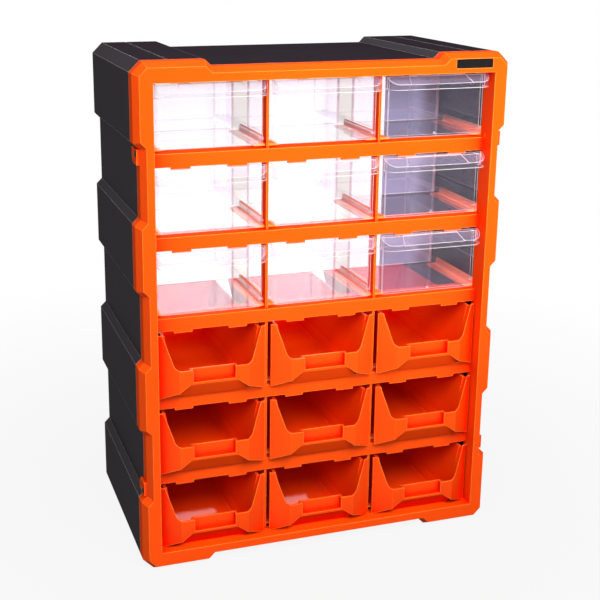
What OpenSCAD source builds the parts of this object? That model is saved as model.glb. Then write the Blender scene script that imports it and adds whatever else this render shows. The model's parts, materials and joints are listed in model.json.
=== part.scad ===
// Parts bin cabinet: a black housing behind an orange front frame, with three rows of clear
// drawers over three rows of open-fronted bins. Every drawer and bin slides out to the front.
// Millimetres. X is the width, +Y points to the back, +Z is up.
// The origin is the middle of the footprint, on the surface that the feet stand on.
// Inside from_face(), y counts backward from the front face of the frame.
// Inside cell(), x counts from the middle of a bay and z from the bay's lower edge.

/* [Bays] */
// Clear width of one bay
bay_w = 113.2; // [113:0.1:114]
// Clear height of one bay
bay_h = 67.5; // [67.5:0.5:70]
// Thickness of the upright plate between two bays
upright_t = 2.4; // [2:0.1:3]
// Height of the bar between two bays
bar_h = 13; // [12:0.5:20]

/* [Cabinet] */
// Width of the frame beside the bays
side_w = 17.8; // [17:0.2:24]
// Height of the frame above and below the bays
rail_h = 19; // [18:0.5:26]
// Depth from the frame's front face to the back
body_d = 210; // [200:5:260]
// Depth of the frame's outer rim
rim_d = 22; // [20:1:26]
// Depth of the bevel round the front face
bevel_d = 9; // [6:0.5:9]
// Width of the bevel in the front view
bevel_w = 4.9; // [3:0.1:5]
// Wall of the frame
frame_wall = 2.4; // [2:0.1:3]
// Wall of the housing
housing_wall = 2.6; // [2:0.1:3]

/* [Outline] */
// Cut across each corner
corner_cut = 10.4; // [8:0.2:12]
// Height of each block down the sides
block_h = 63.6; // [50:0.2:80]
// Depth of the hollows between the side blocks
hollow = 5.7; // [4:0.1:6]
// Depth of the step between the corner blocks, on top and between the feet
tray_depth = 6.1; // [4:0.1:6.5]
// Half width of that step at its bottom
tray_half = 115; // [80:1:120]

/* [Drawers] */
// Gap between a clear drawer's wall and the side of its bay
drawer_side = 5.1; // [4.5:0.1:8]
// Wall of a clear drawer
drawer_wall = 1.6; // [1.2:0.1:2]
// Front panel of a clear drawer behind the frame's front face
drawer_front = 14.5; // [14:0.1:15]
// Back of the drawers and bins behind the frame's front face
tray_back = 180; // [150:1:190]
// Height that the drawer's pull lip drops from back to front
lip_drop = 7.5; // [4:0.5:10]
// Height of the band along the front of the lip
lip_band = 5.8; // [4:0.1:8]

/* [Bins] */
// Gap between a bin's front and the side of its bay
bin_side = 1.9; // [1.5:0.1:4]
// Wall of a bin
bin_wall = 1.8; // [1.5:0.1:2.2]
// Middle of a bin's front behind the frame's front face
bin_front = 3; // [2:0.5:5]
// Height of the low middle rim over the bay's lower edge
bin_rim = 30; // [26:1:34]

/* [Hidden] */
$fn = 48;
rows = 6;
columns = 3;
drawer_rows = 3;
drawer_half = bay_w / 2 - drawer_side;
bin_half = bay_w / 2 - bin_side;
row_pitch = bay_h + bar_h;
column_pitch = bay_w + upright_t;
body_h = 2 * rail_h + rows * bay_h + (rows - 1) * bar_h;
body_w = 2 * side_w + columns * bay_w + (columns - 1) * upright_t;
half_w = body_w / 2;
opening_half = half_w - side_w;
opening_top = body_h - rail_h;
block_pitch = (body_h - 2 * corner_cut - block_h) / 3;
clearance = 0.3;
over = 1;
root = 0.4;
block_count = 4;
step_run = 20;
hair = 0.03;

// Front frame
bar_front = 17;
bar_t = 4;
shelf_back = 41;
shelf_t = 2;
upright_front = 18;
upright_d = 15;
tab_inner = 18.5;
tab_outer = 37;
tab_drop = 2.5;
channel_front = 4;
channel_inset = 6.5;
plate_inset = 40.8;
plate_x = half_w - plate_inset;
plate_w = 39.5;
plate_h = 8.8;
plate_t = 0.8;
plate_drop = 10;
plate_r = 1;

// Rails that carry the drawers and bins
rail_end = 107;
rail_top = 9.7;
rail_low = -5;
ledge_w = 11;
ledge_t = 2;
ledge_top = 4;

// Housing
spigot_front = 9.5;
joggle_d = 3;
spigot_gap = 0.3;
back_rim = 8;
side_rim = 40;
groove_inset = 36;
groove_x = half_w - groove_inset;
groove_w = 1.6;
hang_inset = 30;
hang_x = half_w - hang_inset;
hang_drop = 22;
hang_z = body_h - hang_drop;
hang_r = 2.6;

// Frame screws, one through each of four ears on the sides
ear_t = 2.7;
ear_gap = 0.2;
ear_root = 0.6;
ear_back = 30.5;
ear_len = 14.5;
ear_r = 8;
screw_y = 14;
screw_below = 4.6;
screw_head_r = 2.8;
screw_head_t = 1.3;
screw_r = 1.4;
screw_hole_r = 1.5;
screw_len = 12;
recess_r = 1.1;
recess_depth = 0.7;

// Runners under the drawers and bins
runner_low = ledge_top + clearance;
runner_gap = 0.7;
runner_half = bay_w / 2 - runner_gap;
runner_t = 1.8;
runner_front = 24;

// Clear drawers
drawer_low = runner_low;
top_gap = 1;
drawer_top = bay_h - tab_drop - top_gap;
drawer_r = 3.5;
lip_gap = 1.5;
lip_back_z = bay_h - lip_gap;
lip_front = 0.6;
lip_side = 2.1;
lip_half = bay_w / 2 - lip_side;
lip_r = 11;
label_rear_half = 30;
label_front_half = 33.5;
label_step = 0.5;
slot_y = 107;
slot_rib = 1.2;
slot_gap = 0.2;
divider_t = 1.4;
divider_lift = 0.1;
divider_top = 60;

// Bins
cheek_back = 12.5;
crease_half = 35;
bin_top = drawer_top;
cheek_gap = 2;
cheek_top = bay_h - cheek_gap;
cheek_low = clearance;
bin_floor = 0.9;
floor_half = 34;
side_crease = [38.5, 13];
mouth_half = 50;
mouth_low = [38.3, bin_rim];
mouth_r = 8;
skirt = [[24, 15.2], [35, 7], [53, cheek_low]];
band_back = 12.5;
pocket_half = 21.5;
pocket_edge = 2.2;
pocket_floor = 17.5;
pocket_depth = 5.5;

drawer_names = [for (row = [1:drawer_rows]) for (column = [1:columns]) str("r", row, "c", column)];
bin_names = [for (row = [drawer_rows + 1:rows]) for (column = [1:columns]) str("r", row, "c", column)];

// ---------------------------------------------------------------- outline of the cabinet

// Right-hand side of the outline, from the foot's inner corner up to the top step
function side_points() = concat(
    [[tray_half, tray_depth], [tray_half + tray_depth, 0], [half_w - corner_cut, 0]],
    [for (i = [0:block_count - 1])
        let (low = corner_cut + i * block_pitch, high = low + block_h)
        each [
            if (i > 0) [half_w - hollow, low - hollow],
            [half_w, low],
            [half_w, high],
            if (i < block_count - 1) [half_w - hollow, high + hollow]
        ]],
    [[half_w - corner_cut, body_h], [tray_half + tray_depth, body_h], [tray_half, body_h - tray_depth]]
);

// The whole outline, counter-clockwise seen from the front
function full_outline() =
    let (side = side_points(), n = len(side))
    concat(side, [for (i = [1:n]) [-side[n - i].x, side[n - i].y]]);

function unit(v) = v / norm(v);

// Corner b moved inward by d, with a and c as its neighbours
function inset_corner(a, b, c, d) =
    let (u = unit(b - a), v = unit(c - b), m = [-u.y, u.x], n = [-v.y, v.x])
    b + d * (m + n) / (1 + m * n);

function inset_loop(points, d) =
    let (n = len(points))
    [for (i = [0:n - 1]) inset_corner(points[(i + n - 1) % n], points[i], points[(i + 1) % n], d)];

function outline(d = 0) = inset_loop(full_outline(), d);

// ---------------------------------------------------------------- placing helpers

module from_face() {
    translate([0, -body_d / 2, 0]) children();
}

// A front-view shape, given in x and z, run from depth y0 to depth y1
module slab(y0, y1) {
    translate([0, y1, 0]) rotate([90, 0, 0]) linear_extrude(y1 - y0) children();
}

// A side-view shape, given in y and z, run from x0 to x1
module beam(x0, x1) {
    translate([x0, 0, 0]) rotate([90, 0, 90]) linear_extrude(x1 - x0) children();
}

module box_from(x0, x1, y0, y1, z0, z1) {
    translate([x0, y0, z0]) cube([x1 - x0, y1 - y0, z1 - z0]);
}

function column_x(column) = (column - (columns + 1) / 2) * column_pitch;
function row_z(row) = rail_h + (rows - row) * row_pitch;

module cell(row, column) {
    from_face() translate([column_x(column), 0, row_z(row)]) children();
}

module both_sides() {
    children();
    mirror([1, 0, 0]) children();
}

// Children at the upper screw height, then mirrored to the lower one
module high_and_low() {
    children();
    translate([0, 0, body_h]) mirror([0, 0, 1]) children();
}

// ---------------------------------------------------------------- housing

module outline_ring(outer, inner) {
    difference() {
        polygon(outline(outer));
        polygon(outline(inner));
    }
}

spigot_outer = frame_wall + spigot_gap;
spigot_inner = spigot_outer + frame_wall;
upper_block_low = body_h - corner_cut - block_h;
screw_z = upper_block_low - hollow - screw_below;

// Open in the middle, with a rim above and below and a wide flange down each side
module back_shape() {
    difference() {
        polygon(outline());
        intersection() {
            polygon(outline(back_rim));
            square([2 * (half_w - side_rim), 2 * body_h], center = true);
        }
    }
}

module housing() {
    color("#2f2b2e") from_face() difference() {
        union() {
            slab(rim_d, body_d) outline_ring(0, housing_wall);
            slab(rim_d, rim_d + joggle_d) outline_ring(0, spigot_inner);
            slab(spigot_front, rim_d + over) outline_ring(spigot_outer, spigot_inner);
            slab(body_d - housing_wall, body_d) back_shape();
        }
        high_and_low() both_sides()
            translate([half_w - hollow - screw_len, screw_y, screw_z])
                rotate([0, 90, 0]) cylinder(h = 2 * screw_len, r = screw_hole_r);
        both_sides()
            slab(rim_d - over, body_d + over)
                translate([groove_x, body_h]) rotate(45) square(groove_w / sqrt(2), center = true);
        both_sides()
            translate([hang_x, body_d + over, hang_z])
                rotate([90, 0, 0]) cylinder(h = housing_wall + 2 * over, r = hang_r);
    }
}

// ---------------------------------------------------------------- front frame

module opening_shape(grow = 0) {
    translate([-opening_half - grow, rail_h - grow])
        square([2 * (opening_half + grow), opening_top - rail_h + 2 * grow]);
}

// Wedge cut off along the edge from a to b, whose material lies on its left. A diagonal edge is cut
// a hair deeper, so that no corner of the rim is a point where more than three faces meet.
module bevel_wedge(a, b) {
    edge = b - a;
    reach = bevel_w * over / bevel_d;
    extra = edge.x * edge.y == 0 ? 0 : hair;
    translate([a.x, 0, a.y]) rotate([0, -atan2(edge.y, edge.x), 0])
        beam(-2 * bevel_w, norm(edge) + 2 * bevel_w)
            polygon([
                [-over, bevel_w + reach + extra],
                [-over, -bevel_w],
                [bevel_d + over, -bevel_w],
                [bevel_d + over, -reach + extra]
            ]);
}

// Convex part of the rim with its front edges bevelled
module bevelled_prism(points) {
    difference() {
        slab(0, rim_d) polygon(points);
        for (i = [0:len(points) - 1]) bevel_wedge(points[i], points[(i + 1) % len(points)]);
    }
}

// Upper right corner block, run down inside the rim past its steps
module corner_block() {
    inner = tray_half + tray_depth - step_run;
    bevelled_prism([
        [half_w, upper_block_low],
        [half_w, body_h - corner_cut],
        [half_w - corner_cut, body_h],
        [tray_half + tray_depth, body_h],
        [inner, body_h - step_run],
        [half_w - step_run, upper_block_low - step_run]
    ]);
}

// Two side blocks at one height, joined across the rim
module block_band(low) {
    high = low + block_h;
    near = half_w - step_run;
    bevelled_prism([
        [half_w, low], [half_w, high], [near, high + step_run], [-near, high + step_run],
        [-half_w, high], [-half_w, low], [-near, low - step_run], [near, low - step_run]
    ]);
}

// The rim's solid, bevelled round its front. It is a union of convex parts, whose steps meet inside.
module bevelled_block() {
    inner = half_w - hollow;
    bevelled_prism([
        [-inner, tray_depth], [inner, tray_depth], [inner, body_h - tray_depth], [-inner, body_h - tray_depth]
    ]);
    for (i = [1:block_count - 2]) block_band(corner_cut + i * block_pitch);
    high_and_low() both_sides() corner_block();
}

// Ear on the right-hand side, under the upper block: it overlaps the housing's front edge
module screw_ear() {
    face = half_w - hollow;
    low = upper_block_low - hollow - ear_len;
    root_back = rim_d - ear_root;
    ear_front = bevel_d + ear_root;
    intersection() {
        translate([0, 0, low]) linear_extrude(ear_len - ear_gap)
            polygon([
                [face - over, ear_front],
                [face + ear_t, ear_front],
                [face + ear_t, ear_back],
                [face + ear_gap, ear_back],
                [face + ear_gap, root_back],
                [face - over, root_back]
            ]);
        beam(face - 2 * over, face + ear_t + over) {
            translate([0, low - over]) square([ear_back - ear_r, 2 * ear_len]);
            translate([0, low + ear_r]) square([ear_back + over, 2 * ear_len]);
            translate([ear_back - ear_r, low + ear_r]) circle(ear_r);
        }
    }
}

module rim() {
    difference() {
        union() {
            bevelled_block();
            high_and_low() both_sides() screw_ear();
        }
        slab(-over, rim_d + over) opening_shape();
        slab(channel_front, rim_d + over) difference() {
            polygon(outline(channel_inset));
            opening_shape(frame_wall);
        }
        slab(bevel_d, rim_d + over) difference() {
            polygon(outline(frame_wall));
            opening_shape(frame_wall);
        }
        high_and_low() both_sides()
            translate([half_w - hollow - screw_len, screw_y, screw_z])
                rotate([0, 90, 0]) cylinder(h = 2 * screw_len, r = screw_hole_r);
        slab(-over, plate_t) plate_shape(clearance / 2);
    }
}

// Each bar has a shelf behind its upper edge, between the rails of every bay
module bars() {
    shelf_half = bay_w / 2 - clearance;
    for (row = [1:rows - 1]) {
        box_from(
            -opening_half - over, opening_half + over,
            bar_front, bar_front + bar_t,
            row_z(row) - bar_h, row_z(row)
        );
        for (column = [1:columns])
            translate([column_x(column), 0, row_z(row)])
                box_from(-shelf_half, shelf_half, bar_front, shelf_back, -shelf_t, 0);
    }
}

module uprights() {
    for (column = [1:columns - 1])
        translate([column_x(column) + column_pitch / 2, 0, 0])
            box_from(
                -upright_t / 2, upright_t / 2,
                upright_front, upright_front + upright_d,
                rail_h - over, opening_top + over
            );
}

// Two tabs hang into each bay from the bar above it
module tabs() {
    for (row = [1:rows], column = [1:columns])
        translate([column_x(column), 0, row_z(row) + bay_h]) both_sides()
            box_from(tab_inner, tab_outer, bar_front, bar_front + bar_t, -tab_drop, over);
}

module front_frame() {
    color("#ff5a14") from_face() {
        rim();
        bars();
        uprights();
        tabs();
    }
}

// ---------------------------------------------------------------- rails

// A web with a ledge on one or both sides, behind an upright or behind the frame's side wall
module rail(ledge_left, ledge_right) {
    web_front = ledge_left && ledge_right ? upright_front + upright_d : rim_d;
    half = upright_t / 2;
    box_from(-half, half, web_front, rail_end, rail_low, rail_top);
    if (ledge_left)
        box_from(-half - ledge_w, -half, rim_d, rail_end, ledge_top - ledge_t, ledge_top);
    if (ledge_right)
        box_from(half, half + ledge_w, rim_d, rail_end, ledge_top - ledge_t, ledge_top);
}

module drawer_rails() {
    color("#f04a12") from_face()
        for (row = [1:rows], line = [0:columns])
            translate([(line - columns / 2) * column_pitch, 0, row_z(row)])
                rail(line > 0, line < columns);
}

// ---------------------------------------------------------------- name plate and screws

module plate_shape(grow = 0) {
    translate([plate_x, body_h - plate_drop])
        for (sx = [-1, 1], sz = [-1, 1]) {
            translate([sx * (plate_w / 2 - plate_r), sz * (plate_h / 2 - plate_r)])
                circle(plate_r + grow);
            square([plate_w + 2 * grow, plate_h - 2 * plate_r], center = true);
            square([plate_w - 2 * plate_r, plate_h + 2 * grow], center = true);
        }
}

module name_plate() {
    color("#151515") from_face() slab(0, plate_t) plate_shape();
}

module screw() {
    rotate([0, 90, 0]) difference() {
        union() {
            translate([0, 0, -screw_len]) cylinder(h = screw_len, r = screw_r);
            cylinder(h = screw_head_t, r1 = screw_head_r, r2 = screw_head_r - screw_head_t / 2);
        }
        translate([0, 0, screw_head_t - recess_depth]) cylinder(h = screw_head_t, r = recess_r);
    }
}

module frame_screws() {
    color("#101010") from_face()
        high_and_low() both_sides()
            translate([half_w - hollow + ear_t, screw_y, screw_z]) screw();
}

// ---------------------------------------------------------------- clear drawers

// A box section with its two lower corners rounded
module tub_shape(half, low, high, r) {
    translate([-half, low + r]) square([2 * half, high - low - r]);
    translate([-half + r, low]) square([2 * (half - r), high - low]);
    for (side = [-1, 1])
        translate([side * (half - r), low + r]) circle(r);
}

// Plan of the pull lip, with rounded front corners
module lip_plan(inset) {
    half = lip_half - inset;
    front = lip_front + inset;
    r = lip_r - inset;
    translate([-half, front + r]) square([2 * half, drawer_front + drawer_wall - front - r]);
    translate([-half + r, front]) square([2 * (half - r), drawer_front + drawer_wall - front]);
    for (side = [-1, 1])
        translate([side * (half - r), front + r]) circle(r);
}

// Height of the lip's upper face at its front edge
lip_front_z = lip_back_z - lip_drop;
lip_low = lip_front_z - lip_band;
lip_slope = atan2(lip_drop, drawer_front - lip_front);

module lip_side(drop) {
    polygon([
        [lip_front - over, lip_low - over],
        [lip_front - over, lip_front_z - over * tan(lip_slope) - drop],
        [drawer_front, lip_back_z - drop],
        [drawer_front + drawer_wall, lip_back_z - drop],
        [drawer_front + drawer_wall, lip_low - over]
    ]);
}

module lip_body(inset, drop, low) {
    intersection() {
        translate([0, 0, low]) linear_extrude(lip_back_z) lip_plan(inset);
        beam(-lip_half - over, lip_half + over) lip_side(drop);
    }
}

// Shallow step over the middle of the lip, wider at the front
module lip_label_step() {
    translate([0, lip_front, lip_front_z]) rotate([lip_slope, 0, 0])
        translate([0, 0, -label_step])
            linear_extrude(label_step + over)
                polygon([
                    [-label_front_half, -over],
                    [label_front_half, -over],
                    [label_rear_half, drawer_front],
                    [-label_rear_half, drawer_front]
                ]);
}

module pull_lip() {
    difference() {
        lip_body(0, 0, lip_low);
        difference() {
            lip_body(drawer_wall, drawer_wall, lip_low - over);
            box_from(-lip_half, lip_half, drawer_front, drawer_front + over + drawer_wall, 0, bay_h);
        }
        lip_label_step();
    }
}

module slot_ribs() {
    gap = divider_t / 2 + slot_gap;
    for (y = [slot_y - gap - slot_rib, slot_y + gap])
        both_sides()
            box_from(
                drawer_half - drawer_wall - slot_rib, drawer_half - drawer_wall + root,
                y, y + slot_rib,
                drawer_low + drawer_wall, divider_top
            );
}

module drawer() {
    color("#dfe8ee", 0.45) {
        difference() {
            slab(drawer_front, tray_back) tub_shape(drawer_half, drawer_low, drawer_top, drawer_r);
            slab(drawer_front + drawer_wall, tray_back - drawer_wall)
                tub_shape(
                    drawer_half - drawer_wall, drawer_low + drawer_wall,
                    drawer_top + over, drawer_r - drawer_wall
                );
        }
        both_sides()
            box_from(
                drawer_half - root, runner_half,
                runner_front, tray_back,
                runner_low + drawer_r, runner_low + drawer_r + runner_t
            );
        slot_ribs();
        pull_lip();
    }
}

module divider() {
    color("#e6ecf2", 0.6)
        slab(slot_y - divider_t / 2, slot_y + divider_t / 2)
            tub_shape(
                drawer_half - drawer_wall - clearance, drawer_low + drawer_wall + divider_lift,
                divider_top, drawer_r - drawer_wall
            );
}

// ---------------------------------------------------------------- bins

// Plan of a bin's front face: a flat middle with cheeks that slope back to the sides
module front_plan(shift, back) {
    polygon([
        [-bin_half, back],
        [-bin_half, cheek_back + shift],
        [-crease_half, bin_front + shift],
        [crease_half, bin_front + shift],
        [bin_half, cheek_back + shift],
        [bin_half, back]
    ]);
}

// Section of the trough, from a narrow floor to a wide mouth
module trough_shape(inset, high) {
    half = mouth_half - inset;
    polygon([
        [-half, high],
        [-side_crease.x + inset, side_crease.y],
        [-floor_half + inset / 2, bin_floor + inset],
        [floor_half - inset / 2, bin_floor + inset],
        [side_crease.x - inset, side_crease.y],
        [half, high]
    ]);
}

// Side view of the trough: the band under the front slopes back to the floor
module trough_side(inset) {
    back = tray_back - inset;
    polygon([
        [bin_front + inset, skirt[0].y + inset / 2],
        [band_back + inset, bin_floor + inset - hair],
        [back, bin_floor + inset - hair],
        [back, bay_h],
        [bin_front + inset, bay_h]
    ]);
}

module trough_body(inset, high) {
    intersection() {
        slab(0, tray_back) trough_shape(inset, high);
        beam(-bin_half, bin_half) trough_side(inset);
        linear_extrude(bay_h) front_plan(inset, tray_back);
    }
}

// Points of an arc of radius r that rounds the corner b between a and c
function rounded(a, b, c, r, steps = 6) =
    let (
        u = unit(a - b),
        v = unit(c - b),
        half_angle = acos(u * v) / 2,
        centre = b + unit(u + v) * r / sin(half_angle),
        start = b + u * r / tan(half_angle) - centre,
        end = b + v * r / tan(half_angle) - centre,
        a0 = atan2(start.y, start.x),
        turn = (atan2(end.y, end.x) - a0 + 540) % 360 - 180
    )
    [for (i = [0:steps]) centre + r * [cos(a0 + turn * i / steps), sin(a0 + turn * i / steps)]];

// Right half of the V-shaped mouth, from the top down to the middle of the rim
mouth_side = concat(
    [[mouth_half, cheek_top]],
    rounded([mouth_half, cheek_top], mouth_low, [0, bin_rim], mouth_r)
);

function mirrored(points) = [for (i = [len(points) - 1:-1:0]) [-points[i].x, points[i].y]];

module mouth_shape() {
    top = [[mouth_half + root, cheek_top + over]];
    polygon(concat(top, mouth_side, mirrored(mouth_side), mirrored(top)));
}

// Front view of the plate with the cheeks, whose lower edge steps down to each side
module front_plate_shape() {
    right = concat(skirt, [[bin_half, cheek_low], [bin_half, cheek_top]]);
    polygon(concat(right, mirrored(right)));
}

module front_plate() {
    intersection() {
        slab(0, tray_back) front_plate_shape();
        translate([0, 0, cheek_low]) linear_extrude(cheek_top - cheek_low) difference() {
            front_plan(0, cheek_back + bin_wall);
            front_plan(bin_wall, cheek_back + bin_wall + over);
        }
    }
}

module pocket_block() {
    half = pocket_half + pocket_edge;
    box_from(
        -half, half,
        bin_front, bin_front + pocket_depth + bin_wall,
        skirt[0].y, bin_rim
    );
}

module pocket_cut() {
    box_from(
        -pocket_half, pocket_half,
        bin_front - over, bin_front + pocket_depth,
        pocket_floor, bin_rim + over
    );
}

module bin_runners() {
    both_sides()
        box_from(
            floor_half, runner_half,
            runner_front, tray_back,
            runner_low, runner_low + runner_t
        );
}

module bin() {
    color("#fb5312") difference() {
        union() {
            difference() {
                union() {
                    trough_body(0, bin_top);
                    bin_runners();
                }
                trough_body(bin_wall, bay_h);
            }
            front_plate();
            pocket_block();
        }
        slab(0, cheek_back + bin_wall) mouth_shape();
        pocket_cut();
    }
}

// ---------------------------------------------------------------- assembly

housing();
front_frame();
drawer_rails();
name_plate();
frame_screws();
for (row = [1:drawer_rows], column = [1:columns]) {
    cell(row, column) drawer();
    cell(row, column) divider();
}
for (row = [drawer_rows + 1:rows], column = [1:columns])
    cell(row, column) bin();
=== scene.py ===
"""Parts bin cabinet: finishes, small fittings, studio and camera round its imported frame."""

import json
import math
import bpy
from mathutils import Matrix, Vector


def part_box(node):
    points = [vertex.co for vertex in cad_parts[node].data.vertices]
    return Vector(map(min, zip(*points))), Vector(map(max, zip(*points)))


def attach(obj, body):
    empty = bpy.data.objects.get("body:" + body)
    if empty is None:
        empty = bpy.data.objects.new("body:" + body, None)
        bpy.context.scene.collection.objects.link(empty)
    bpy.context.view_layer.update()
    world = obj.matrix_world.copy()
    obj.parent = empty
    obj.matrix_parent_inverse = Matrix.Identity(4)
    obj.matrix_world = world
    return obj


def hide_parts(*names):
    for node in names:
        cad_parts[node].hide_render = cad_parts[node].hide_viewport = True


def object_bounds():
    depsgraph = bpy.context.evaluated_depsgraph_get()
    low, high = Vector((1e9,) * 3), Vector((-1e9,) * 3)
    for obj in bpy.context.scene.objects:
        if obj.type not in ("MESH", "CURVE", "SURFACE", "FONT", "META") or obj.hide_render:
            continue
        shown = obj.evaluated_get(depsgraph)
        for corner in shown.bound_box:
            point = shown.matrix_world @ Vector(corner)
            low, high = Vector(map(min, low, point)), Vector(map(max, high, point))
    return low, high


bl_info = {
    "name": "Parts Bin Cabinet",
    "version": (1, 0, 0),
    "blender": (4, 5, 0),
    "location": "3D View > Sidebar > Cabinet",
    "description": "Finishes and small fittings for a parts bin cabinet, with its studio",
    "category": "Object",
}

import bmesh
import bpy
from bpy.props import FloatProperty, FloatVectorProperty, IntProperty, PointerProperty
from mathutils import Matrix, Vector

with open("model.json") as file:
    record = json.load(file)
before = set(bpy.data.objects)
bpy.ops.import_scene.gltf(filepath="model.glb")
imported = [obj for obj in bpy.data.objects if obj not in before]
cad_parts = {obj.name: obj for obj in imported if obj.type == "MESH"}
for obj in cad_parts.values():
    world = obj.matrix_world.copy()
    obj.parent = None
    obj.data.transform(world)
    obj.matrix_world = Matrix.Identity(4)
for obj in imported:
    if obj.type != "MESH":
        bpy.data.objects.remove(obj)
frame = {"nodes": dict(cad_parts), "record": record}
CAD_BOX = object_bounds()
MM = 0.001
NODES = [part["node"] for part in frame["record"]["subparts"]]
SLOTS = {part["node"]: part["material_slot"] for part in frame["record"]["subparts"]}

PROBES = 6  # rays with which a bevel or a hollow feels round each point
UPWARD = {"From Min": 0.1, "From Max": 0.8}  # from a steep face to one that looks mostly up
LEVEL = {"From Min": 0.9, "From Max": 0.99}  # from a sloping face to one that lies flat
EDGE_START = 0.995  # cosine of the turn at which a rounded edge begins to show
# Painted shade: over this span of free share a surface goes from the deep hollow colour to its own.
HOLLOW = (0.42, 0.97)  # free share of the space round a point in a deep hollow, and in the open
CORNER = (0.7, 0.95)  # the same, nearer by, in a corner and beside an edge that stands out

# Clear plastic, as shares of the light
DUST = 0.08  # least that a face scatters where dust can lie on it
THROUGH = 0.3  # of the scattered light, what goes on through the wall
MIRROR_STRAIGHT = 0.01  # mirrored by a face that is looked at straight on
MIRROR_STANDING = 0.16  # mirrored by a standing wall that is looked along
# Most of a clear wall's edge that the painted edge highlight covers.
HIGHLIGHT_COVER = 0.95  # hidden behind a bright edge

CROSS_TAPER = 0.6  # width of the cross in a screw's head at its bottom, over that at its mouth
GATE_TAPER = 0.8  # radius of a gate mark in front, over that at its root

FLOOR_HALF = 3.0  # half the floor's side, in metres
MOTTLE = 250 * MM  # size of the floor's faint patches
SHADOW_SPAN = (0.25, 0.9)  # metres from the middle over which the shadow fades away
SHADOW_VEIL = 0.9  # how much white lies over the shadow at the cabinet's feet
ROOM_BLEND = 0.3  # how far in front of and behind straight sideways the room changes
SENSOR = 36.0  # width of the camera's sensor, in millimetres
LENS = 67.108  # the camera's focal length, in millimetres
SHIFT = (0.07375, -0.09583)  # how far the picture lies off the middle of the view, in its widths
TARGET = Vector((-0.07519, CAD_BOX[0][1], 0.33461))  # the point the camera turns round
WALLS_SEEN = 24  # clear walls and mirrors that a ray is followed through
WALLS_LIT = 12  # times that matt walls pass light on to each other


def linear(code):
    """Turns an sRGB hex colour such as "ff6a1a" into linear red, green and blue."""
    parts = [int(code[i : i + 2], 16) / 255 for i in (0, 2, 4)]
    return tuple(p / 12.92 if p <= 0.04045 else ((p + 0.055) / 1.055) ** 2.4 for p in parts)


def in_slot(slot):
    """The cabinet's nodes that the record gives this material slot."""
    return [name for name in NODES if SLOTS[name] == slot]


# ---------------------------------------------------------------- sizes and colours to change


def colour(name, code, description):
    """A colour property whose default is an sRGB hex value."""
    return FloatVectorProperty(
        name=name,
        description=description,
        subtype="COLOR",
        size=3,
        min=0,
        max=1,
        default=linear(code),
    )


def length(name, millimetres, description):
    """A length property whose default is given in millimetres."""
    return FloatProperty(
        name=name,
        description=description,
        unit="LENGTH",
        precision=5,
        min=0,
        default=millimetres * MM,
    )


def power(name, watts, description):
    """A lamp's power, in watts."""
    return FloatProperty(name=name, description=description, unit="POWER", min=0, default=watts)


def angle(name, degrees, description):
    """An angle property whose default is given in degrees."""
    return FloatProperty(
        name=name, description=description, subtype="ANGLE", default=math.radians(degrees)
    )


def share(name, default, description):
    """A property from 0 to 1."""
    return FloatProperty(
        name=name, description=description, subtype="FACTOR", min=0, max=1, default=default
    )


class CabinetPlastics(bpy.types.PropertyGroup):
    """Colours and surface of the moulded pieces."""

    orange: colour("Orange", "fa500a", "Colour of the moulded frame")
    # Painted light: the frame's orange made paler on the rails, standing in for light that barely
    # reaches them.
    lit_rail_orange: colour("Lit Rail Orange", "ff7c34", "Colour of the rails, thin and so a little paler")
    orange_bin: colour("Bin Orange", "fa4e0a", "Colour of the moulded bins")
    orange_deep: colour("Deep Orange", "f24a06", "Colour where the melt has flowed and cooled last")
    # Painted shade: the deep red that hollows take on, in place of their shade and of the light
    # their walls pass to each other.
    orange_painted_shade: colour("Painted Shade Orange", "e41000", "Colour in hollows, which their own walls light")
    # Painted highlight: the light colour put on edges that stand out, as if they caught the light.
    orange_highlight: colour("Highlight Orange", "ff9238", "Colour of the thin, worn edges")
    black: colour("Black", "1f181e", "Colour of the moulded housing")
    black_worn: colour("Worn Black", "281f26", "Colour of the housing where hands have rubbed it")
    # Painted highlight: the light grey put on the housing's edges that stand out.
    black_highlight: colour("Highlight Black", "c4bcc2", "Colour of the housing's worn edges")
    plate: colour("Plate", "0e0e0f", "Colour of the blank plate")
    clear: colour("Clear", "fcfbfa", "Tint of one face of a clear drawer's wall")
    divider: colour("Divider", "fdfcff", "Tint of one face of a divider")
    haze: colour("Haze", "c8caf6", "Colour of the light that the clear plastic scatters")
    # Painted highlight: the opaque light colour put on the clear plastic's edges.
    clear_rim_highlight: colour("Clear Rim Highlight", "ccbfc4", "Colour of the clear plastic's bright edges")
    screw: colour("Screw", "1b1c1f", "Colour of the blackened screws")
    # Painted shade: how far off a wall the darkening in a hollow reaches.
    shade_reach: length("Painted Shade Reach", 60, "How far off a wall still darkens a hollow")
    grain: length("Grain", 0.9, "Size of the texture that the mould leaves")
    flow: length("Flow Marks", 60, "Size of the soft patches that the melt leaves")
    edge: length("Edge Radius", 0.6, "Rounding of the moulded edges")
    # Width of the painted edge highlight.
    highlight_width: length("Highlight Width", 1.1, "How far from an edge the plastic is worn or blushed")
    # Width of the painted edge highlight on the clear plastic.
    clear_highlight_width: length("Clear Highlight Width", 0.9, "Width of the bright edges of the clear plastic")
    ripple: length("Ripple", 22, "Size of the soft ripples in the clear walls")


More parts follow.
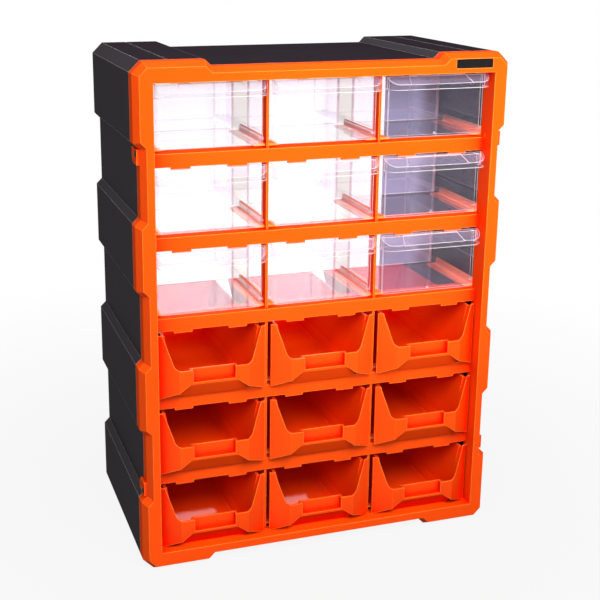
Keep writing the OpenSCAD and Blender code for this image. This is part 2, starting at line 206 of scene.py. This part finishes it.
class CabinetFittings(bpy.types.PropertyGroup):
    """Sizes of the small fittings."""

    gate_radius: length("Gate Radius", 1.2, "Radius of the mark where the drawer's sprue was cut")
    gate_height: length("Gate Height", 0.35, "How far the mark stands out of the drawer's front")
    gate_rise: length("Gate Rise", 3.3, "Height of the mark over the drawer's lowest edge")
    drawer_front: length("Drawer Front", 14.5, "From the frame's face back to a drawer's front")
    shank_radius: length("Shank Radius", 1.4, "Radius of a screw's shank")
    shank_length: length("Shank Length", 12.0, "Length of a screw under its head")
    head_height: length("Head Height", 1.3, "Height of a screw's head")
    recess_arm: length("Recess Arm", 1.5, "Half the width of the cross in a screw's head")
    recess_width: length("Recess Width", 0.75, "Width of one arm of the cross")
    recess_depth: length("Recess Depth", 0.9, "Depth of the cross")
    segments: IntProperty(name="Segments", description="Sides of a round piece", min=12, default=48)


class CabinetStudio(bpy.types.PropertyGroup):
    """Lamps, floor and camera."""

    floor: colour("Floor", "8c8c8c", "Colour of the floor")
    key_power: power("Key", 18, "Power of the large lamp in front")
    fill_power: power("Fill", 7, "Power of the soft lamp at the left")
    back_power: power("Back", 14, "Power of the lamp behind, which shines through the drawers")
    spot_power: power("Spot", 120, "Power of the narrow spot from the right")
    ambient: share("Ambient", 0.12, "Strength of the room's light")
    back_room: share("Back Room", 1.0, "How bright the room behind looks in reflections")
    front_room: share("Front Room", 0.1, "How bright the room in front looks in reflections")
    distance: length("Camera Distance", 1067.75, "From the camera to the point it turns round")
    azimuth: angle("Azimuth", -17.93, "Camera's angle from straight ahead, negative to the left")
    elevation: angle("Elevation", 15.12, "Camera's angle over the level")
    roll: angle("Roll", 0.27, "Camera's tilt about its view")


def props():
    """The scene's three groups of values."""
    scene = bpy.context.scene
    return scene.cabinet_plastics, scene.cabinet_fittings, scene.cabinet_studio


# ---------------------------------------------------------------- materials


def add_node(tree, kind, inputs=(), **settings):
    """Adds a node. A socket given in inputs is linked, and any other value is set."""
    node = tree.nodes.new(kind)
    for key, value in settings.items():
        setattr(node, key, value)
    for key, value in dict(inputs).items():
        if isinstance(value, bpy.types.NodeSocket):
            tree.links.new(value, node.inputs[key])
        else:
            node.inputs[key].default_value = value
    return node


def new_material(name):
    """An empty material with its node tree."""
    material = bpy.data.materials.new(name)
    material.use_nodes = True
    material.node_tree.nodes.clear()
    return material, material.node_tree


def rgba(colour_value):
    """A colour property as four numbers."""
    return (*colour_value, 1.0)


def facing_up(tree):
    """How much a face looks up: 1 where it lies flat, 0 where it stands, negative underneath."""
    normal = add_node(tree, "ShaderNodeTexCoord").outputs["Normal"]
    return add_node(tree, "ShaderNodeSeparateXYZ", {"Vector": normal}).outputs["Z"]


def uneven(tree, size, low, high):
    """A roughness that drifts from low to high over patches of this size."""
    place = add_node(tree, "ShaderNodeTexCoord").outputs["Object"]
    fine = add_node(
        tree, "ShaderNodeTexNoise", {"Vector": place, "Scale": 1 / size, "Detail": 2.0}
    )
    return add_node(
        tree,
        "ShaderNodeMapRange",
        {"Value": fine.outputs["Fac"], "To Min": low, "To Max": high},
    ).outputs["Result"]


def moulded_grain(tree, plastics, place, height):
    """Spark-eroded mould grain over rounded edges, as its pattern and as a bump of this height.
    The real grain, about 0.1 mm wide, is too fine to show, so it is drawn as coarse as it needs."""
    grain = add_node(
        tree,
        "ShaderNodeTexNoise",
        {"Vector": place, "Scale": 1 / plastics.grain, "Detail": 2.0, "Roughness": 0.6},
    )
    rounded = add_node(tree, "ShaderNodeBevel", {"Radius": plastics.edge}, samples=PROBES)
    bump = add_node(
        tree,
        "ShaderNodeBump",
        {
            "Strength": 0.6,
            "Distance": height,
            "Height": grain.outputs["Fac"],
            "Normal": rounded.outputs["Normal"],
        },
    )
    return grain, bump


def highlight_mask(tree, radius, full):
    """Mask for a painted edge highlight: 1 on sharp edges, falling to 0 at a radius from them.
    full is the cosine of the turn at which it reaches 1."""
    rounded = add_node(tree, "ShaderNodeBevel", {"Radius": radius}, samples=PROBES)
    flat = add_node(tree, "ShaderNodeNewGeometry").outputs["Normal"]
    turned = add_node(
        tree,
        "ShaderNodeVectorMath",
        {0: rounded.outputs["Normal"], 1: flat},
        operation="DOT_PRODUCT",
    )
    return add_node(
        tree,
        "ShaderNodeMapRange",
        {"Value": turned.outputs["Value"], "From Min": EDGE_START, "From Max": full},
    ).outputs["Result"]


def openness(tree, reach, span, own=True):
    """0 to 1 as the free share of the space within reach goes over this span. With own, only the
    piece's own walls stand in the way, and not its neighbours."""
    shelter = add_node(
        tree, "ShaderNodeAmbientOcclusion", {"Distance": reach}, samples=PROBES, only_local=own
    )
    return add_node(
        tree,
        "ShaderNodeMapRange",
        {"Value": shelter.outputs["AO"], "From Min": span[0], "From Max": span[1]},
    ).outputs["Result"]


def polypropylene(
    name, plastics, colours, roughness, spread, shine, grain_height, own=True, top=None
):
    """Injection-moulded polypropylene: an even colour with soft flow patches, a fine satin grain,
    and slightly rounded edges that catch the light, with a painted highlight on the edges that
    stand out and painted shade in hollows. colours are the base, the flow patches, the painted
    shade in hollows and the painted edge highlight. The roughness varies by spread to either
    side, and shine is the share of light that is mirrored. own says whether the painted shade in
    hollows counts only the piece's own walls. top, where given, is the roughness and shine of
    faces that lie flat."""
    material, tree = new_material(name)
    place = add_node(tree, "ShaderNodeTexCoord").outputs["Object"]
    patches = add_node(
        tree, "ShaderNodeTexNoise", {"Vector": place, "Scale": 1 / plastics.flow, "Detail": 3.0}
    )
    base, other, painted_shade, highlit = (rgba(value) for value in colours)
    shade = add_node(
        tree,
        "ShaderNodeMix",
        {"Factor": patches.outputs["Fac"], "A": base, "B": other},
        data_type="RGBA",
    ).outputs["Result"]
    # Painted shade: the colour deepens to the hollow colour where walls close round a point, in
    # place of the shade and the light the walls pass to each other.
    open_here = openness(tree, plastics.shade_reach, HOLLOW, own)
    shade = add_node(
        tree, "ShaderNodeMix", {"Factor": open_here, "A": painted_shade, "B": shade}, data_type="RGBA"
    ).outputs["Result"]
    # Painted highlight: an edge takes the light edge colour only where it stands out, and not where
    # it runs through a corner.
    edge = highlight_mask(tree, plastics.highlight_width, full=0.86)
    convex = add_node(
        tree,
        "ShaderNodeMath",
        {0: edge, 1: openness(tree, 3 * plastics.highlight_width, CORNER)},
        operation="MULTIPLY",
    ).outputs[0]
    shade = add_node(
        tree, "ShaderNodeMix", {"Factor": convex, "A": shade, "B": highlit}, data_type="RGBA"
    ).outputs["Result"]
    grain, bump = moulded_grain(tree, plastics, place, grain_height)
    rough = add_node(
        tree,
        "ShaderNodeMapRange",
        {"Value": grain.outputs["Fac"], "To Min": roughness - spread, "To Max": roughness + spread},
    ).outputs["Result"]
    mirror = shine
    if top is not None:
        level = add_node(
            tree, "ShaderNodeMapRange", {"Value": facing_up(tree), **LEVEL}
        ).outputs["Result"]
        rough = add_node(
            tree, "ShaderNodeMix", {"Factor": level, "A": rough, "B": top[0]}
        ).outputs["Result"]
        mirror = add_node(
            tree, "ShaderNodeMix", {"Factor": level, "A": shine, "B": top[1]}
        ).outputs["Result"]
    body = add_node(
        tree, "ShaderNodeBsdfDiffuse", {"Color": shade, "Normal": bump.outputs["Normal"]}
    )
    gloss = add_node(
        tree, "ShaderNodeBsdfGlossy", {"Roughness": rough, "Normal": bump.outputs["Normal"]}
    )
    shader = add_node(
        tree,
        "ShaderNodeMixShader",
        {0: mirror, 1: body.outputs["BSDF"], 2: gloss.outputs["BSDF"]},
    )
    add_node(tree, "ShaderNodeOutputMaterial", {"Surface": shader.outputs["Shader"]})
    return material


def polystyrene(name, plastics, tint, roughness, scatter):
    """Injection-moulded clear polystyrene, a wall at a time: each face reflects more at a shallow
    angle, scatters a small share of the light, and has a painted highlight, an opaque pale colour,
    on its edges. Standing walls mirror less than floors and rims. scatter is a clean face's
    scattered share."""
    material, tree = new_material(name)
    place = add_node(tree, "ShaderNodeTexCoord").outputs["Object"]
    ripple = add_node(tree, "ShaderNodeTexNoise", {"Vector": place, "Scale": 1 / plastics.ripple})
    bump = add_node(
        tree,
        "ShaderNodeBump",
        {"Strength": 0.3, "Distance": 0.1 * MM, "Height": ripple.outputs["Fac"]},
    )
    seen = add_node(tree, "ShaderNodeBsdfTransparent", {"Color": rgba(tint)})
    up = facing_up(tree)
    cloud = add_node(
        tree,
        "ShaderNodeMapRange",
        {"Value": up, **UPWARD, "To Min": scatter, "To Max": max(scatter, DUST)},
    ).outputs["Result"]
    milky = add_node(
        tree,
        "ShaderNodeVectorMath",
        {0: tuple(plastics.haze), 3: cloud},
        operation="SCALE",
    ).outputs["Vector"]
    back = add_node(tree, "ShaderNodeBsdfDiffuse", {"Color": milky})
    through = add_node(tree, "ShaderNodeBsdfTranslucent", {"Color": milky})
    scattered = add_node(
        tree,
        "ShaderNodeMixShader",
        {0: THROUGH, 1: back.outputs["BSDF"], 2: through.outputs["BSDF"]},
    )
    body = add_node(
        tree, "ShaderNodeAddShader", {0: seen.outputs["BSDF"], 1: scattered.outputs[0]}
    )
    gloss = add_node(
        tree,
        "ShaderNodeBsdfGlossy",
        {"Color": (1, 1, 1, 1), "Roughness": roughness, "Normal": bump.outputs["Normal"]},
    )
    # The mirrored share rises with the fifth power from looking straight on to looking along.
    facing = add_node(tree, "ShaderNodeLayerWeight", {"Blend": 0.5})
    along = add_node(
        tree, "ShaderNodeMath", {0: facing.outputs["Facing"], 1: 5.0}, operation="POWER"
    )
    strongest = add_node(
        tree,
        "ShaderNodeMapRange",
        {"Value": up, **UPWARD, "To Min": MIRROR_STANDING, "To Max": 1.0},
    ).outputs["Result"]
    mirror = add_node(
        tree,
        "ShaderNodeMapRange",
        {"Value": along.outputs[0], "To Min": MIRROR_STRAIGHT, "To Max": strongest},
    )
    wall = add_node(
        tree,
        "ShaderNodeMixShader",
        {0: mirror.outputs["Result"], 1: body.outputs[0], 2: gloss.outputs["BSDF"]},
    )
    # Painted highlight: an opaque light colour covers the edges of the clear walls.
    edge = add_node(
        tree,
        "ShaderNodeMath",
        {0: highlight_mask(tree, plastics.clear_highlight_width, full=0.9), 1: HIGHLIGHT_COVER},
        operation="MULTIPLY",
    )
    bright = add_node(tree, "ShaderNodeBsdfDiffuse", {"Color": rgba(plastics.clear_rim_highlight)})
    shader = add_node(
        tree,
        "ShaderNodeMixShader",
        {0: edge.outputs[0], 1: wall.outputs[0], 2: bright.outputs["BSDF"]},
    )
    add_node(tree, "ShaderNodeOutputMaterial", {"Surface": shader.outputs["Shader"]})
    return material


def blackened_steel(plastics):
    """Blackened steel screw: cold-headed and oxide-coated, so dark with soft metallic glints that
    vary over half a millimetre."""
    material, tree = new_material("Blackened_Steel")
    shader = add_node(
        tree,
        "ShaderNodeBsdfPrincipled",
        {
            "Base Color": rgba(plastics.screw),
            "Metallic": 0.85,
            "Roughness": uneven(tree, 0.5 * MM, 0.3, 0.48),
        },
    )
    add_node(tree, "ShaderNodeOutputMaterial", {"Surface": shader.outputs["BSDF"]})
    return material


def glossy_abs(plastics):
    """Gloss black ABS plate: polished in the mould, so dark with clear reflections that waver over
    two millimetres."""
    material, tree = new_material("Gloss_Black_ABS")
    rounded = add_node(tree, "ShaderNodeBevel", {"Radius": plastics.edge / 2}, samples=PROBES)
    shader = add_node(
        tree,
        "ShaderNodeBsdfPrincipled",
        {
            "Base Color": rgba(plastics.plate),
            "Roughness": uneven(tree, 2 * MM, 0.14, 0.24),
            "IOR": 1.52,
            "Normal": rounded.outputs["Normal"],
        },
    )
    add_node(tree, "ShaderNodeOutputMaterial", {"Surface": shader.outputs["BSDF"]})
    return material


def add_piece(name, mesh, material, body):
    """A new piece of this mesh, which is already in its place, riding on a body."""
    mesh.to_mesh(bpy.data.meshes.new(name))
    mesh.free()
    piece = bpy.data.objects.new(name, bpy.data.meshes[name])
    bpy.context.scene.collection.objects.link(piece)
    piece.data.materials.append(material)
    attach(piece, body)
    return piece


def ring(mesh, radius, height, segments):
    """A circle of vertices about +Z."""
    turn = 2 * math.pi / segments
    return [
        mesh.verts.new((radius * math.cos(i * turn), radius * math.sin(i * turn), height))
        for i in range(segments)
    ]


def skin(mesh, low, high):
    """Joins two closed loops of as many vertices with faces that look outward."""
    for i in range(len(low)):
        k = (i + 1) % len(low)
        mesh.faces.new((low[i], low[k], high[k], high[i]))


def loop_edges(mesh, loop):
    """The edges round a closed loop of vertices, made where they are missing."""
    return [
        mesh.edges.get((a, b)) or mesh.edges.new((a, b)) for a, b in zip(loop, [*loop[1:], loop[0]])
    ]


def screw_mesh(fittings, head_radius):
    """A pan-head screw along +Z with its head's seat at 0 and a cross recess in the top."""
    mesh = bmesh.new()
    count, top = fittings.segments, fittings.head_height
    # Radius and height, up the shank and round the domed head.
    profile = [
        (fittings.shank_radius, -fittings.shank_length),
        (fittings.shank_radius, 0),
        (head_radius, 0),
        (head_radius, 0.25 * top),
        (0.94 * head_radius, 0.65 * top),
        (0.8 * head_radius, 0.9 * top),
        (0.63 * head_radius, top),
    ]
    rings = [ring(mesh, radius, height, count) for radius, height in profile]
    for low, high in zip(rings, rings[1:]):
        skin(mesh, low, high)
    mesh.faces.new(reversed(rings[0]))
    arm, half = fittings.recess_arm, fittings.recess_width / 2
    quarter = [(arm, -half), (arm, half), (half, half)]  # one arm's end and the corner after it
    cross = []
    for turn in range(4):
        for x, y in quarter:
            for _ in range(turn):
                x, y = -y, x
            cross.append((x, y))
    mouth = [mesh.verts.new((x, y, top)) for x, y in cross]
    floor = top - fittings.recess_depth
    bottom = [mesh.verts.new((CROSS_TAPER * x, CROSS_TAPER * y, floor)) for x, y in cross]
    bmesh.ops.triangle_fill(
        mesh, edges=loop_edges(mesh, rings[-1]) + loop_edges(mesh, mouth), use_beauty=True
    )
    skin(mesh, mouth, bottom)
    mesh.faces.new(bottom)
    bmesh.ops.recalc_face_normals(mesh, faces=mesh.faces)
    return mesh


def finish(names, material):
    """Puts a material on the CAD nodes of these names."""
    for name in names:
        slots = frame["nodes"][name].data.materials
        slots.clear()
        slots.append(material)


# ---------------------------------------------------------------- operators


class CABINET_OT_housing(bpy.types.Operator):
    """Gives the housing its moulded black"""

    bl_idname = "cabinet.housing"
    bl_label = "Finish Housing"

    def execute(self, context):
        plastics, _, _ = props()
        black = polypropylene(
            "Moulded_Black_Polypropylene",
            plastics,
            (plastics.black, plastics.black_worn, plastics.black, plastics.black_highlight),
            roughness=0.34,
            spread=0.06,
            shine=0.03,
            grain_height=0.02 * MM,
            top=(0.5, 0.012),
        )
        finish(in_slot("black_body"), black)
        return {"FINISHED"}


class CABINET_OT_front_frame(bpy.types.Operator):
    """Gives the front frame its moulded orange"""

    bl_idname = "cabinet.front_frame"
    bl_label = "Finish Front Frame"

    def execute(self, context):
        plastics, _, _ = props()
        orange = polypropylene(
            "Moulded_Orange_Polypropylene",
            plastics,
            (plastics.orange, plastics.orange_deep, plastics.orange_painted_shade, plastics.orange_highlight),
            roughness=0.35,
            spread=0.05,
            shine=0.012,
            grain_height=0.03 * MM,
        )
        finish(in_slot("orange_frame"), orange)
        return {"FINISHED"}


class CABINET_OT_rails(bpy.types.Operator):
    """Gives the rails a paler orange, painted light where the lamps barely reach them"""

    bl_idname = "cabinet.rails"
    bl_label = "Finish Rails"

    def execute(self, context):
        plastics, _, _ = props()
        # Painted light: the rails take a paler orange than the frame, and their hollows get no
        # painted shade.
        plain = plastics.lit_rail_orange
        pale = polypropylene(
            "Painted_Light_Orange_Polypropylene",
            plastics,
            (plain, plain, plain, plastics.orange_highlight),
            roughness=0.4,
            spread=0.06,
            shine=0.012,
            grain_height=0.02 * MM,
        )
        finish(in_slot("orange_rails"), pale)
        return {"FINISHED"}


class CABINET_OT_name_plate(bpy.types.Operator):
    """Gives the blank plate its gloss black"""

    bl_idname = "cabinet.name_plate"
    bl_label = "Finish Plate"

    def execute(self, context):
        plastics, _, _ = props()
        finish(in_slot("black_plate"), glossy_abs(plastics))
        return {"FINISHED"}


class CABINET_OT_screws(bpy.types.Operator):
    """Makes the frame's screws with the cross in their heads, in the place of the plain ones"""

    bl_idname = "cabinet.screws"
    bl_label = "Make Screws"

    def execute(self, context):
        plastics, fittings, _ = props()
        low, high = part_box("frame_screws")
        radius = (high[1] - low[1]) / 2
        steel = blackened_steel(plastics)
        for side, mark in ((-1, "left"), (1, "right")):
            outward = Matrix.Rotation(side * math.pi / 2, 4, "Y")
            for z, level in ((low[2] + radius, "low"), (high[2] - radius, "high")):
                mesh = screw_mesh(fittings, radius)
                seat = Vector((side * (high[0] - fittings.head_height), low[1] + radius, z))
                mesh.transform(Matrix.Translation(seat) @ outward)
                name = f"ear_screw_{mark}_{level}"
                piece = add_piece(name, mesh, steel, "cabinet")
                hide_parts("frame_screws")
        return {"FINISHED"}


class CABINET_OT_drawers(bpy.types.Operator):
    """Gives the drawers their clear plastic, and the gate mark low on each front"""

    bl_idname = "cabinet.drawers"
    bl_label = "Finish Drawers"

    def execute(self, context):
        plastics, fittings, _ = props()
        clear = polystyrene(
            "Clear_Moulded_Polystyrene", plastics, plastics.clear, roughness=0.07, scatter=0.016
        )
        drawers = in_slot("clear_drawer")
        finish(drawers, clear)
        front = CAD_BOX[0][1] + fittings.drawer_front
        forward = Matrix.Rotation(math.pi / 2, 4, "X")
        for drawer in drawers:
            low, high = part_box(drawer)
            place = Vector(((low[0] + high[0]) / 2, front, low[2] + fittings.gate_rise))
            # Half of the mark's length lies in the drawer's front, so that it stands out of it.
            mesh = bmesh.new()
            bmesh.ops.create_cone(
                mesh,
                cap_ends=True,
                segments=fittings.segments,
                radius1=fittings.gate_radius,
                radius2=GATE_TAPER * fittings.gate_radius,
                depth=2 * fittings.gate_height,
            )
            mesh.transform(Matrix.Translation(place) @ forward)
            bay = drawer.removeprefix("drawer_")
            add_piece(f"gate_mark_{bay}", mesh, clear, drawer)
        return {"FINISHED"}


class CABINET_OT_dividers(bpy.types.Operator):
    """Gives the dividers their slightly hazy plastic"""

    bl_idname = "cabinet.dividers"
    bl_label = "Finish Dividers"

    def execute(self, context):
        plastics, _, _ = props()
        hazy = polystyrene(
            "Hazy_Moulded_Polystyrene", plastics, plastics.divider, roughness=0.12, scatter=0.22
        )
        finish(in_slot("clear_divider"), hazy)
        return {"FINISHED"}


class CABINET_OT_bins(bpy.types.Operator):
    """Gives the bins their moulded orange, polished on the floor"""

    bl_idname = "cabinet.bins"
    bl_label = "Finish Bins"

    def execute(self, context):
        plastics, _, _ = props()
        orange = polypropylene(
            "Polished_Orange_Polypropylene",
            plastics,
            (
                plastics.orange_bin,
                plastics.orange_deep,
                plastics.orange_painted_shade,
                plastics.orange_highlight,
            ),
            roughness=0.35,
            spread=0.05,
            shine=0.014,
            grain_height=0.02 * MM,
            own=False,
            top=(0.04, 0.1),
        )
        finish(in_slot("orange_bin"), orange)
        return {"FINISHED"}


def background_ray(tree):
    """1 for the rays that show the background: seen straight, mirrored, or through glass."""
    path = add_node(tree, "ShaderNodeLightPath").outputs
    seen = path["Is Camera Ray"]
    for other in ("Is Glossy Ray", "Is Transmission Ray"):
        seen = add_node(
            tree, "ShaderNodeMath", {0: seen, 1: path[other]}, operation="MAXIMUM"
        ).outputs[0]
    return seen


def add_floor(studio):
    """The floor. It looks white, and keeps a trace of the cabinet's shadow near its feet."""
    material, tree = new_material("Pale_Floor")
    place = add_node(tree, "ShaderNodeTexCoord").outputs["Object"]
    mottle = add_node(
        tree, "ShaderNodeTexNoise", {"Vector": place, "Scale": 1 / MOTTLE, "Detail": 2.0}
    )
    tone = add_node(
        tree,
        "ShaderNodeMix",
        {
            "Factor": mottle.outputs["Fac"],
            "A": rgba(studio.floor),
            "B": rgba(c * 0.99 for c in studio.floor),
        },
        data_type="RGBA",
    )
    diffuse = add_node(tree, "ShaderNodeBsdfDiffuse", {"Color": tone.outputs["Result"]})
    white = add_node(tree, "ShaderNodeEmission", {"Color": (1, 1, 1, 1), "Strength": 1.0})
    away = add_node(tree, "ShaderNodeVectorMath", {0: place}, operation="LENGTH")
    fade = add_node(
        tree,
        "ShaderNodeMapRange",
        {
            "Value": away.outputs["Value"],
            "From Min": SHADOW_SPAN[0],
            "From Max": SHADOW_SPAN[1],
            "To Min": SHADOW_VEIL,
            "To Max": 1.0,
        },
    )
    shown = add_node(
        tree,
        "ShaderNodeMath",
        {0: fade.outputs["Result"], 1: background_ray(tree)},
        operation="MULTIPLY",
    )
    cover = add_node(
        tree,
        "ShaderNodeMixShader",
        {0: shown.outputs[0], 1: diffuse.outputs["BSDF"], 2: white.outputs["Emission"]},
    )
    add_node(tree, "ShaderNodeOutputMaterial", {"Surface": cover.outputs["Shader"]})
    mesh = bpy.data.meshes.new("floor")
    corners = [(x * FLOOR_HALF, y * FLOOR_HALF, 0) for x, y in ((-1, -1), (1, -1), (1, 1), (-1, 1))]
    mesh.from_pydata(corners, [], [(0, 1, 2, 3)])
    mesh.materials.append(material)
    floor = bpy.data.objects.new("floor", mesh)
    bpy.context.scene.collection.objects.link(floor)


def white_room(studio):
    """The room round the floor: white to the eye, dim in the light it gives, and brighter behind
    than in front where a glossy surface mirrors it."""
    world = bpy.data.worlds.new("White_Room")
    world.use_nodes = True
    tree = world.node_tree
    tree.nodes.clear()
    aim = add_node(tree, "ShaderNodeTexCoord").outputs["Generated"]
    ahead = add_node(tree, "ShaderNodeSeparateXYZ", {"Vector": aim}).outputs["Y"]
    mirrored = add_node(
        tree,
        "ShaderNodeMapRange",
        {
            "Value": ahead,
            "From Min": -ROOM_BLEND,
            "From Max": ROOM_BLEND,
            "To Min": studio.front_room,
            "To Max": studio.back_room,
        },
    )
    path = add_node(tree, "ShaderNodeLightPath").outputs
    room = add_node(
        tree,
        "ShaderNodeMix",
        {"Factor": path["Is Glossy Ray"], "A": 1.0, "B": mirrored.outputs["Result"]},
    )
    strength = add_node(
        tree,
        "ShaderNodeMix",
        {"Factor": background_ray(tree), "A": studio.ambient, "B": room.outputs["Result"]},
    ).outputs["Result"]
    glow = add_node(tree, "ShaderNodeBackground", {"Color": (1, 1, 1, 1), "Strength": strength})
    add_node(tree, "ShaderNodeOutputWorld", {"Surface": glow.outputs["Background"]})
    return world


def add_lamp(name, kind, place, aim, watts, mirrored=False):
    """A lamp at place, turned to aim, both in metres. mirrored says whether glossy surfaces show
    the lamp itself. Returns its light, for the sizes that its kind takes."""
    light = bpy.data.lights.new(name, kind)
    light.energy = watts
    lamp = bpy.data.objects.new(name, light)
    bpy.context.scene.collection.objects.link(lamp)
    lamp.location = place
    lamp.rotation_euler = (Vector(aim) - Vector(place)).to_track_quat("-Z", "Y").to_euler()
    lamp.visible_camera = False
    lamp.visible_glossy = mirrored
    return light


def add_lamps(studio):
    """Soft lamps in front, at the left and behind, and a narrow spot from the right. Only the one
    behind is mirrored, because the drawers' floors would show the others as blown patches."""
    middle = (0, 0, CAD_BOX[1][2] / 2)
    key = add_lamp("key_lamp", "AREA", (0.05, -0.95, 1.05), (0, -0.1, 0.45), studio.key_power)
    fill = add_lamp("fill_lamp", "AREA", (-0.6, -0.9, 0.9), (0, -0.1, 0.35), studio.fill_power)
    back = add_lamp("back_lamp", "AREA", (0, 1.9, 1.8), middle, studio.back_power, mirrored=True)
    for light, side in ((key, 0.6), (fill, 0.7), (back, 2.2)):
        light.shape = "SQUARE"
        light.size = side
    spot = add_lamp("spot_lamp", "SPOT", (0.5, -1.6, 0.75), (0.1, -0.1, 0.46), studio.spot_power)
    spot.spot_size = math.radians(21)
    spot.spot_blend = 0.7
    spot.shadow_soft_size = 0.12


def add_camera(studio):
    """The camera, by its angles and distance round a point on the cabinet's face."""
    data = bpy.data.cameras.new("camera")
    data.sensor_width = SENSOR
    data.lens = LENS
    data.shift_x, data.shift_y = SHIFT
    camera = bpy.data.objects.new("camera", data)
    bpy.context.scene.collection.objects.link(camera)
    az, el, roll = studio.azimuth, studio.elevation, studio.roll
    back = Vector((math.sin(az) * math.cos(el), -math.cos(az) * math.cos(el), math.sin(el)))
    right = (-back).cross(Vector((0, 0, 1))).normalized()
    up = right.cross(-back)
    right, up = (
        math.cos(roll) * right + math.sin(roll) * up,
        math.cos(roll) * up - math.sin(roll) * right,
    )
    turn = Matrix((right, up, back)).transposed().to_4x4()
    camera.matrix_world = Matrix.Translation(TARGET + back * studio.distance) @ turn
    return camera


class CABINET_OT_stage(bpy.types.Operator):
    """Makes the floor, the white room, the lamps and the camera"""

    bl_idname = "cabinet.stage"
    bl_label = "Make Stage"

    def execute(self, context):
        _, _, studio = props()
        scene = context.scene
        scene.view_settings.view_transform = "Standard"
        add_floor(studio)
        scene.world = white_room(studio)
        add_lamps(studio)
        scene.camera = add_camera(studio)
        scene.cycles.max_bounces = WALLS_SEEN
        scene.cycles.diffuse_bounces = WALLS_LIT
        scene.cycles.transmission_bounces = WALLS_SEEN
        scene.cycles.transparent_max_bounces = WALLS_SEEN
        return {"FINISHED"}


class CABINET_PT_sidebar(bpy.types.Panel):
    """Lists the steps that dress the cabinet."""

    bl_idname = "CABINET_PT_sidebar"
    bl_label = "Parts Bin Cabinet"
    bl_space_type = "VIEW_3D"
    bl_region_type = "UI"
    bl_category = "Cabinet"

    def draw(self, context):
        for operator in OPERATORS:
            self.layout.operator(operator.bl_idname)
        for group in props():
            box = self.layout.box()
            for key in group.__annotations__:
                box.prop(group, key)


GROUPS = {
    "cabinet_plastics": CabinetPlastics,
    "cabinet_fittings": CabinetFittings,
    "cabinet_studio": CabinetStudio,
}
OPERATORS = [
    CABINET_OT_housing,
    CABINET_OT_front_frame,
    CABINET_OT_rails,
    CABINET_OT_name_plate,
    CABINET_OT_screws,
    CABINET_OT_drawers,
    CABINET_OT_dividers,
    CABINET_OT_bins,
    CABINET_OT_stage,
]


def register():
    """Registers the classes and the scene's groups of values."""
    for cls in [*GROUPS.values(), *OPERATORS, CABINET_PT_sidebar]:
        bpy.utils.register_class(cls)
    for name, group in GROUPS.items():
        setattr(bpy.types.Scene, name, PointerProperty(type=group))


def unregister():
    """Removes what register added."""
    for name in GROUPS:
        delattr(bpy.types.Scene, name)
    for cls in [CABINET_PT_sidebar, *reversed(OPERATORS), *GROUPS.values()]:
        bpy.utils.unregister_class(cls)


def main():
    """Dresses the cabinet step by step."""
    register()
    for operator in OPERATORS:
        group, name = operator.bl_idname.split(".")
        getattr(getattr(bpy.ops, group), name)()


if __name__ == "__main__":
    main()
